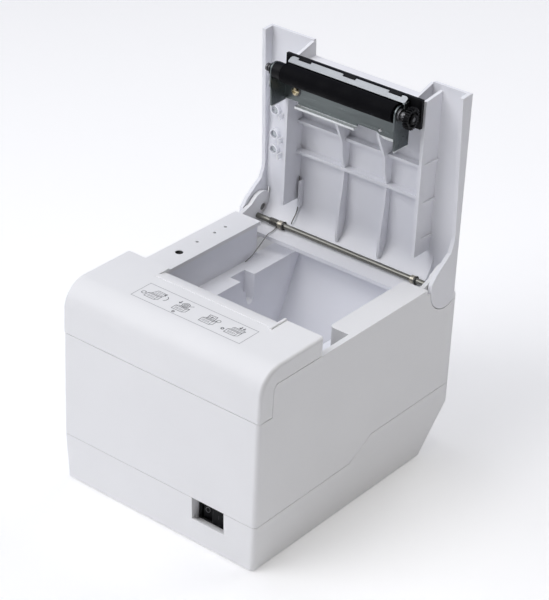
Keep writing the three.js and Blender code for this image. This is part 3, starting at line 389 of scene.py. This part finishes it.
def block(x, y, z):
    """Corners and faces of a box, to add to a piece."""
    verts = [(a, b, c) for a in x for b in y for c in z]
    faces = [(0, 1, 3, 2), (4, 6, 7, 5), (0, 4, 5, 1), (2, 3, 7, 6), (0, 2, 6, 4), (1, 5, 7, 3)]
    return verts, faces


def merged(parts):
    verts, faces = [], []
    for part_verts, part_faces in parts:
        base = len(verts)
        verts.extend(part_verts)
        faces.extend(tuple(i + base for i in face) for face in part_faces)
    return verts, faces


def lathe(profile, centre, axis, steps=40):
    """Profile of (radius, distance along axis) turned about the axis through centre."""
    centre, axis = Vector(centre), Vector(axis).normalized()
    side = axis.orthogonal().normalized()
    other = axis.cross(side)
    verts, faces, rings = [], [], []
    for radius, along in profile:
        if radius < 1e-6:
            rings.append([len(verts)])
            verts.append(tuple(centre + axis * along))
            continue
        rings.append(list(range(len(verts), len(verts) + steps)))
        for i in range(steps):
            angle = 2 * math.pi * i / steps
            spoke = side * math.cos(angle) + other * math.sin(angle)
            verts.append(tuple(centre + spoke * radius + axis * along))
    for low, high in zip(rings, rings[1:]):
        for i in range(steps):
            j = (i + 1) % steps
            quad = [low[i % len(low)], low[j % len(low)], high[j % len(high)], high[i % len(high)]]
            faces.append(tuple(dict.fromkeys(quad)))
    for ring in (rings[0], rings[-1]):
        if len(ring) > 1:
            faces.append(tuple(ring))
    return verts, faces


def spline(points, per_span):
    """Catmull-Rom points through the given ones."""
    points = [Vector(p) for p in points]
    padded = [points[0] * 2 - points[1], *points, points[-1] * 2 - points[-2]]
    out = []
    for a, b, c, d in zip(padded, padded[1:], padded[2:], padded[3:]):
        for i in range(per_span):
            t = i / per_span
            out.append(0.5 * (2 * b + (c - a) * t + (2 * a - 5 * b + 4 * c - d) * t * t
                              + (3 * b - a - 3 * c + d) * t ** 3))
    return [*out, points[-1]]


def wire(points, radius, sides=12, per_span=6):
    """A round wire with domed ends along a smooth path."""
    path = spline(points, per_span)
    verts, faces, rings = [], [], []
    normal = (path[1] - path[0]).orthogonal().normalized()
    ends = {0: (0.35, 0.8), len(path) - 1: (0.8, 0.35)}
    for i, point in enumerate(path):
        ahead = (path[min(i + 1, len(path) - 1)] - path[max(i - 1, 0)]).normalized()
        normal = (normal - ahead * normal.dot(ahead)).normalized()
        across = ahead.cross(normal)
        shrink = ends[i][0] if i in ends else 1.0
        rings.append(range(len(verts), len(verts) + sides))
        for k in range(sides):
            angle = 2 * math.pi * k / sides
            spoke = normal * math.cos(angle) + across * math.sin(angle)
            verts.append(tuple(point + spoke * radius * shrink))
    for low, high in zip(rings, rings[1:]):
        for k in range(sides):
            j = (k + 1) % sides
            faces.append((low[k], low[j], high[j], high[k]))
    faces.append(tuple(rings[0]))
    faces.append(tuple(rings[-1]))
    return verts, faces


# ---- Hinge springs ------------------------------------------------------------------------


def hinge_springs():
    coil_r = ROD_R + 0.08 + COIL_WIRE_R
    points = []
    for i in range(COIL_TURNS * 12 + 1):
        angle = math.radians(-60 + i * 30)
        points.append((COIL_START + COIL_PITCH * i / 12, ROD[0] + coil_r * math.cos(angle),
                       ROD[1] + coil_r * math.sin(angle)))
    points += [(-50.8, 73.0, 110.0), (-51, 69.6, 108.8), (-51, 65.3, 108.4), (-51, 60, 105),
               (-51, 51, 99.6), (-51, 44.5, 97.8)]
    coil = piece("spring_coil", *wire(points, COIL_WIRE_R, per_span=3), COIL, "chassis", "spring_steel")
    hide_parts("hinge_spring")
    arm_path = [(78.4, 113.4), (79.6, 115.6), (82.6, 119.2), (84.1, 123.4), (84.7, 134.2), (84.5, 144.2)]
    leg = wire([(-43.1, y, z) for y, z in arm_path], WIRE_R)
    arm = piece("spring_leg", *leg, SPRING, "cover", "spring_steel")
    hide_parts("hinge_spring_arm")


# ---- Platen unit --------------------------------------------------------------------------


def pan_screw(name, x, z):
    """A pan-head screw with a cross recess, standing for the plain CAD one."""
    dome = [(0.0, -1.9), (0.9, -1.88), (1.8, -1.7), (2.45, -1.25), (2.8, -0.6), (2.85, -0.15), (2.7, 0.0),
            (1.2, 0.0), (1.2, 9.0), (0.0, 9.6)]
    head = piece(name + "_head", *lathe(dome, (x, BRACKET_FACE, z), (0, 1, 0)), BRASS, "cover", "brass")
    arms = merged([
        block((x - 1.5, x + 1.5), (BRACKET_FACE - 3, BRACKET_FACE - 1.1), (z - 0.32, z + 0.32)),
        block((x - 0.32, x + 0.32), (BRACKET_FACE - 3, BRACKET_FACE - 1.1), (z - 1.5, z + 1.5)),
    ])
    cutter = piece(name + "_recess", *arms, BRASS, "cover", "brass", smooth=False)
    carve(head, cutter)
    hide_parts(name)


def carve(obj, cutter):
    """Cuts cutter out of obj for good, and removes cutter."""
    cut = obj.modifiers.new("cut", "BOOLEAN")
    cut.object = cutter
    cut.solver = "EXACT"
    cut.use_self = True
    graph = bpy.context.evaluated_depsgraph_get()
    mesh = bpy.data.meshes.new_from_object(obj.evaluated_get(graph))
    obj.modifiers.remove(cut)
    obj.data = mesh
    bpy.data.objects.remove(cutter)


def platen_details():
    for name, (x, z) in BRACKET_SCREWS.items():
        pan_screw(name, x, z)
    # Painted shadow: a dark ring around the left screw head stands for the shadow the head casts on the
    # bracket.
    ring = [(2.9, -0.35), (3.5, -0.3), (3.6, -0.02), (2.9, -0.02)]
    x, z = BRACKET_SCREWS["bracket_screw_left"]
    shadow_ring = piece("screw_shadow_ring", *lathe([*ring, ring[0]], (x, BRACKET_FACE, z), (0, 1, 0)), DARK_STEEL,
                   "cover", "spring_steel")
    shadow_ring.modifiers.new("normals", "WEIGHTED_NORMAL")
    tab = merged([
        block((43.9, 45.3), (61.4, 66.4), (227.4, 228.1)),
        block((44.6, 45.3), (61.8, 66.0), (223.6, 227.8)),
    ])
    peg = [(0.0, -0.9), (0.45, -0.85), (0.85, -0.5), (0.95, 0.0), (0.95, 3.0), (0.0, 3.0)]
    turned = lathe(peg, (24.6, BRACKET_FACE, 202.6), (0, 1, 0), 20)
    piece("bracket_peg", *turned, CASE, "cover", "case_white")
    soften(piece("blade_end_tab", *tab, ZINC, "cover", "zinc_plate"), 0.12)
    hub = [(1.75, 52.9), (1.75, 53.9), (2.3, 54.0), (2.9, 53.9), (3.1, 53.6), (3.15, 52.9)]
    turned = lathe([*hub, hub[0]], (0, 60.0, 221.6), (1, 0, 0))
    soften(piece("gear_hub", *turned, BLACK, "platen", "black_plastic"), 0.08)


def light_hooks():
    """The snap hooks that hold the light guide beside each light pipe."""
    for i, z in enumerate(LIGHT_ZS):
        parts = merged([
            block((LIGHT_X + 4.4, LIGHT_X + 5.1), (81.6, 86.2), (z - 4.8, z - 1.2)),
            block((LIGHT_X + 4.8, LIGHT_X + 6.0), (81.6, 82.4), (z - 4.2, z - 2.6)),
        ])
        soften(piece(f"light_hook_{i + 1}", *parts, CASE, "cover", "case_white"), 0.15)


# ---- Printed decal ------------------------------------------------------------------------


def cap_height(y):
    (y0, z0), (y1, z1) = CAP_FLAT
    return z0 + (z1 - z0) * (y - y0) / (y1 - y0) + DECAL_LIFT


def stroke(points, width, closed=False):
    """A thin flat strip along [x, y] points, laid on top of the cap."""
    pts = [Vector(p) for p in points]
    count = len(pts)
    verts, faces = [], []
    for i, p in enumerate(pts):
        before = pts[i - 1] if (i or closed) else p
        after = pts[(i + 1) % count] if (i < count - 1 or closed) else p
        first, second = (p - before), (after - p)
        first = first.normalized() if first.length else second.normalized()
        second = second.normalized() if second.length else first
        along = (first + second).normalized() if (first + second).length > 1e-6 else first
        side = Vector((-along.y, along.x)) * width / 2 / max(0.5, along.dot(second))
        for q in (p + side, p - side):
            verts.append((q.x, q.y, cap_height(q.y)))
    spans = count if closed else count - 1
    for i in range(spans):
        a, b = 2 * i, 2 * ((i + 1) % count)
        faces.append((a, a + 1, b + 1, b))
    return verts, faces


def ring_points(cx, cy, r, start=0, stop=360, steps=18):
    return [(cx + r * math.cos(math.radians(start + (stop - start) * i / steps)),
             cy + r * math.sin(math.radians(start + (stop - start) * i / steps))) for i in range(steps + 1)]


def picture_strokes(cx, cy, kind):
    """One little drawing of the printer: opening the cover, dropping in a roll, paper out, shutting."""

    def line(points, width=0.34, closed=False):
        return stroke([(cx + x, cy + y) for x, y in points], width, closed)

    def ring(x, y, r, width, start=0, stop=360):
        return stroke(ring_points(cx + x, cy + y, r, start, stop), width)

    def arrow(x, y, dx, dy, width=0.5):
        tip = (x + dx, y + dy)
        barbs = [(tip[0] - dx * 0.4 - dy * 0.35, tip[1] - dy * 0.4 + dx * 0.35), tip,
                 (tip[0] - dx * 0.4 + dy * 0.35, tip[1] - dy * 0.4 - dx * 0.35)]
        return [line([(x, y), tip], width), line(barbs, width)]

    lines = [
        line([(-4.4, -3.6), (2.8, -3.6), (4.6, -2.2), (4.6, 1.6), (-2.6, 1.6), (-4.4, 0.2)], 0.36, True),
        line([(-4.4, 0.2), (2.8, 0.2), (4.6, 1.6)], 0.3),
        line([(2.8, 0.2), (2.8, -3.6)], 0.3),
        line([(-3.4, -1.2), (1.8, -1.2)], 0.3),
        line([(-3.4, -2.2), (1.8, -2.2)], 0.26),
        line([(-2.6, 0.8), (3.2, 0.8)], 0.3),
    ]
    if kind == "open":
        lines += [
            line([(-2.6, 1.6), (-1.2, 5.4), (5.6, 5.4), (4.6, 1.6)]),
            line([(-0.8, 4.2), (4.6, 4.2)], 0.3),
            line([(-1.4, 2.8), (4.2, 2.8)], 0.3),
            ring(6.2, 1.4, 2.6, 0.45, -60, 70),
            *arrow(5.6, 3.2, -1.0, 1.6),
            ring(-6.6, -1.0, 1.3, 0.45),
        ]
    if kind == "roll":
        lines += [
            ring(0.2, 3.6, 2.3, 0.45),
            ring(0.2, 3.6, 1.4, 0.3),
            ring(0.2, 3.6, 0.7, 0.4),
            line([(2.5, 3.6), (4.8, 5.4)], 0.4),
            *arrow(-4.2, 6.0, 0.0, -2.8),
            ring(-1.0, -6.0, 0.7, 0.6),
        ]
    if kind == "paper":
        lines += [
            line([(-2.2, 1.0), (-2.9, 5.0), (2.2, 5.4), (2.8, 1.0)], 0.4),
            *arrow(-0.2, 1.4, 0.0, 2.6),
            line([(-1.6, 2.0), (-2.0, 4.4)], 0.3),
            line([(1.4, 2.0), (1.2, 4.6)], 0.3),
            ring(5.2, 2.6, 1.2, 0.35),
        ]
    if kind == "shut":
        lines += [
            line([(-3.2, 2.4), (-2.2, 3.8), (5.2, 3.8), (4.6, 1.6)], 0.4),
            line([(-2.4, 2.8), (4.6, 2.8)], 0.3),
            *arrow(0.8, 7.0, 0.0, -2.6),
            *arrow(3.0, 6.8, 0.0, -2.0),
            ring(-6.8, -1.6, 0.8, 0.6),
        ]
    return lines


def decal():
    (x0, x1), (y0, y1) = DECAL["x"], DECAL["y"]
    outline = stroke([(x0, y0), (x1, y0), (x1, y1), (x0, y1)], 0.42, True)
    piece("decal_frame", *outline, LINE_INK, "chassis", "case_white")
    middle = (y0 + y1) / 2 - 0.6
    for share, kind in ((0.13, "open"), (0.39, "roll"), (0.64, "paper"), (0.87, "shut")):
        strokes = merged(picture_strokes(x0 + (x1 - x0) * share, middle, kind))
        piece(f"decal_{kind}", *strokes, INK, "chassis", "case_white")


# ---- Power switch -------------------------------------------------------------------------


def rocker_marks():
    """The ring on the off side and the bar on the on side of the rocker."""
    cx, cz = SWITCH_CENTRE
    outer, inner, count = 1.5, 1.22, 32
    verts, faces = [], []
    for i in range(count):
        angle = 2 * math.pi * i / count
        for r in (outer, inner):
            x = cx - 4.9 + r * math.cos(angle)
            verts.append((x, rocker_left(x) - 0.04, cz - 0.3 + r * 1.25 * math.sin(angle)))
    for i in range(count):
        a, b = 2 * i, 2 * ((i + 1) % count)
        faces.append((a, a + 1, b + 1, b))
    piece("off_mark", verts, faces, MARK, "rocker", "black_plastic")
    bar = [(x, rocker_right(x) - 0.04, z) for x in (cx + 4.7, cx + 4.9) for z in (cz - 1.4, cz + 1.3)]
    piece("on_mark", bar, [(0, 1, 3, 2)], FAINT_MARK, "rocker", "black_plastic")


def rocker_left(x):
    """Y of the rocker's face on its off side."""
    cx = SWITCH_CENTRE[0]
    return SWITCH_FACE - 0.7 + 0.9 * (x - (cx - 7.7)) / 4.7


def rocker_right(x):
    """Y of the rocker's face on its on side."""
    cx = SWITCH_CENTRE[0]
    return SWITCH_FACE - 3.0 + 1.5 * (x - (cx + 2)) / 5.7


# ---- Deck, back and underside -------------------------------------------------------------


def deck_details():
    """A dark ring of painted shade in the gap round the feed plunger, strips under the bay's rim and a plate
    behind the left lug.
    """
    # Painted shade: a black ring fills the gap around the feed plunger.
    guide = [(2.0, 117.2), (2.05, 118.7), (2.3, 118.9), (2.45, 118.9), (2.45, 117.2)]
    turned = lathe([*guide, guide[0]], (BUTTON_XY[0], BUTTON_XY[1], 0), (0, 0, 1), 28)
    piece("plunger_gap_shade", *turned, GAP_SHADE_BLACK, "chassis", "black_plastic")
    strips = merged([
        block((-54.2, -52.62), (-36.8, 56.8), (116.2, 116.78)),
        block((55.52, 57.1), (-8.5, 56.8), (116.2, 116.78)),
    ])
    piece("bay_rim_strips", *strips, BRIGHT_INNER, "chassis", "inner_white", smooth=False)
    guard = block((-69.8, -66.2), (88.65, 89.2), (114.0, 127.2))
    piece("lug_guard", *guard, CASE, "chassis", "case_white", smooth=False)


def rear_details():
    pins = [block((x, x + 0.5), (81.2, 85.6), (56.4, 56.8)) for x in (4.4, 6.0, 7.6, 9.2, 10.8)]
    soften(piece("drawer_contacts", *merged(pins), GOLD, "chassis", "brass"), 0.1, 2)
    pins = [block((31.4 + i * 1.0, 31.7 + i * 1.0), (81.2, 86.0), (60.6, 61.0)) for i in range(8)]
    soften(piece("network_contacts", *merged(pins), GOLD, "chassis", "brass"), 0.08, 2)
    head = [(0.0, 86.18), (2.2, 86.18), (2.2, 86.0), (1.9, 85.7), (1.2, 85.5), (0.0, 85.5)]
    for i, x in enumerate((-53.5, 53.5)):
        screw = lathe(head, (x, 0, 66.0), (0, 1, 0), 28)
        piece(f"panel_screw_{i + 1}", *screw, STEEL, "chassis", "screw_steel")
    label = block((-34, 34), (-34, 8), (0.9, 0.985))
    soften(piece("blank_rating_label", *label, LABEL, "chassis", "case_white"), 0.03, 1)


# ---- Stage, in metres ---------------------------------------------------------------------

FLOOR_HALF = 8.0
LIGHT_AIM = (0, 0, 0.12)
COOL_SIDE = (0.15, 0.18, 0.31, 1.0)
DARK_SIDE = (0.03, 0.027, 0.025, 1.0)


def camera():
    data = bpy.data.cameras.new("camera")
    data.lens = CAMERA_LENS
    data.sensor_width = 36.0
    data.clip_start, data.clip_end = 0.05, 50.0
    obj = bpy.data.objects.new("camera", data)
    bpy.context.scene.collection.objects.link(obj)
    az, el, roll = (math.radians(v) for v in (CAMERA_AZIMUTH, CAMERA_ELEVATION, CAMERA_ROLL))
    back = Vector((math.sin(az) * math.cos(el), -math.cos(az) * math.cos(el), math.sin(el)))
    right = Vector((math.cos(az), math.sin(az), 0.0))
    up = back.cross(right)
    across = right * math.cos(roll) + up * math.sin(roll)
    upward = up * math.cos(roll) - right * math.sin(roll)
    turn = Matrix((across, upward, back)).transposed().to_4x4()
    obj.matrix_world = Matrix.Translation(Vector(CAMERA_PLACE) * MM) @ turn
    bpy.context.scene.camera = obj


def softbox(name, place, size, power, colour=(1.0, 1.0, 1.0)):
    data = bpy.data.lights.new(name, "AREA")
    data.shape = "RECTANGLE"
    data.size, data.size_y = size
    data.energy = power
    data.color = colour
    obj = bpy.data.objects.new(name, data)
    obj.location = place
    obj.rotation_mode = "QUATERNION"
    obj.rotation_quaternion = (Vector(LIGHT_AIM) - Vector(place)).to_track_quat("-Z", "Y")
    bpy.context.scene.collection.objects.link(obj)


def studio():
    """Dim surroundings, cool to the left and dark to the right; the softboxes do most of the lighting."""
    world = bpy.data.worlds.new("studio")
    world.use_nodes = True
    tree = world.node_tree
    background = tree.nodes["Background"]
    place = tree.nodes.new("ShaderNodeTexCoord")
    split = tree.nodes.new("ShaderNodeSeparateXYZ")
    ramp = tree.nodes.new("ShaderNodeValToRGB")
    left_to_right = tree.nodes.new("ShaderNodeMapRange")
    left_to_right.inputs["From Min"].default_value = -1.0
    left_to_right.inputs["From Max"].default_value = 0.2
    ramp.color_ramp.elements[0].color = COOL_SIDE
    ramp.color_ramp.elements[1].color = DARK_SIDE
    tree.links.new(place.outputs["Generated"], split.inputs["Vector"])
    tree.links.new(split.outputs["X"], left_to_right.inputs["Value"])
    tree.links.new(left_to_right.outputs["Result"], ramp.inputs["Fac"])
    tree.links.new(ramp.outputs["Color"], background.inputs["Color"])
    bpy.context.scene.world = world


def stage():
    mesh = bpy.data.meshes.new("floor")
    corners = [(x * FLOOR_HALF, y * FLOOR_HALF, 0) for x, y in ((-1, -1), (1, -1), (1, 1), (-1, 1))]
    mesh.from_pydata(corners, [], [(0, 1, 2, 3)])
    floor = bpy.data.objects.new("floor", mesh)
    bpy.context.scene.collection.objects.link(floor)
    shader = Shader("floor_white", (0.97, 0.97, 0.975), 0.9)
    shader.bsdf.inputs["Emission Color"].default_value = (1.0, 1.0, 1.0, 1.0)
    shader.bsdf.inputs["Emission Strength"].default_value = 0.16
    mesh.materials.append(shader.material)
    studio()
    softbox("top_box", (-0.2, -0.1, 1.7), (1.4, 1.4), 12.2)
    softbox("front_box", (-0.75, -1.2, 1.35), (1.3, 1.3), 16.4)
    softbox("right_box", (1.1, -0.9, 1.5), (1.2, 1.2), 2.4, (1.0, 0.95, 0.91))
    softbox("back_box", (0.2, 1.3, 1.3), (1.3, 1.3), 9.0)
    bpy.context.scene.view_settings.view_transform = "Standard"


hinge_springs()
platen_details()
light_hooks()
decal()
rocker_marks()
deck_details()
rear_details()
camera()
stage()
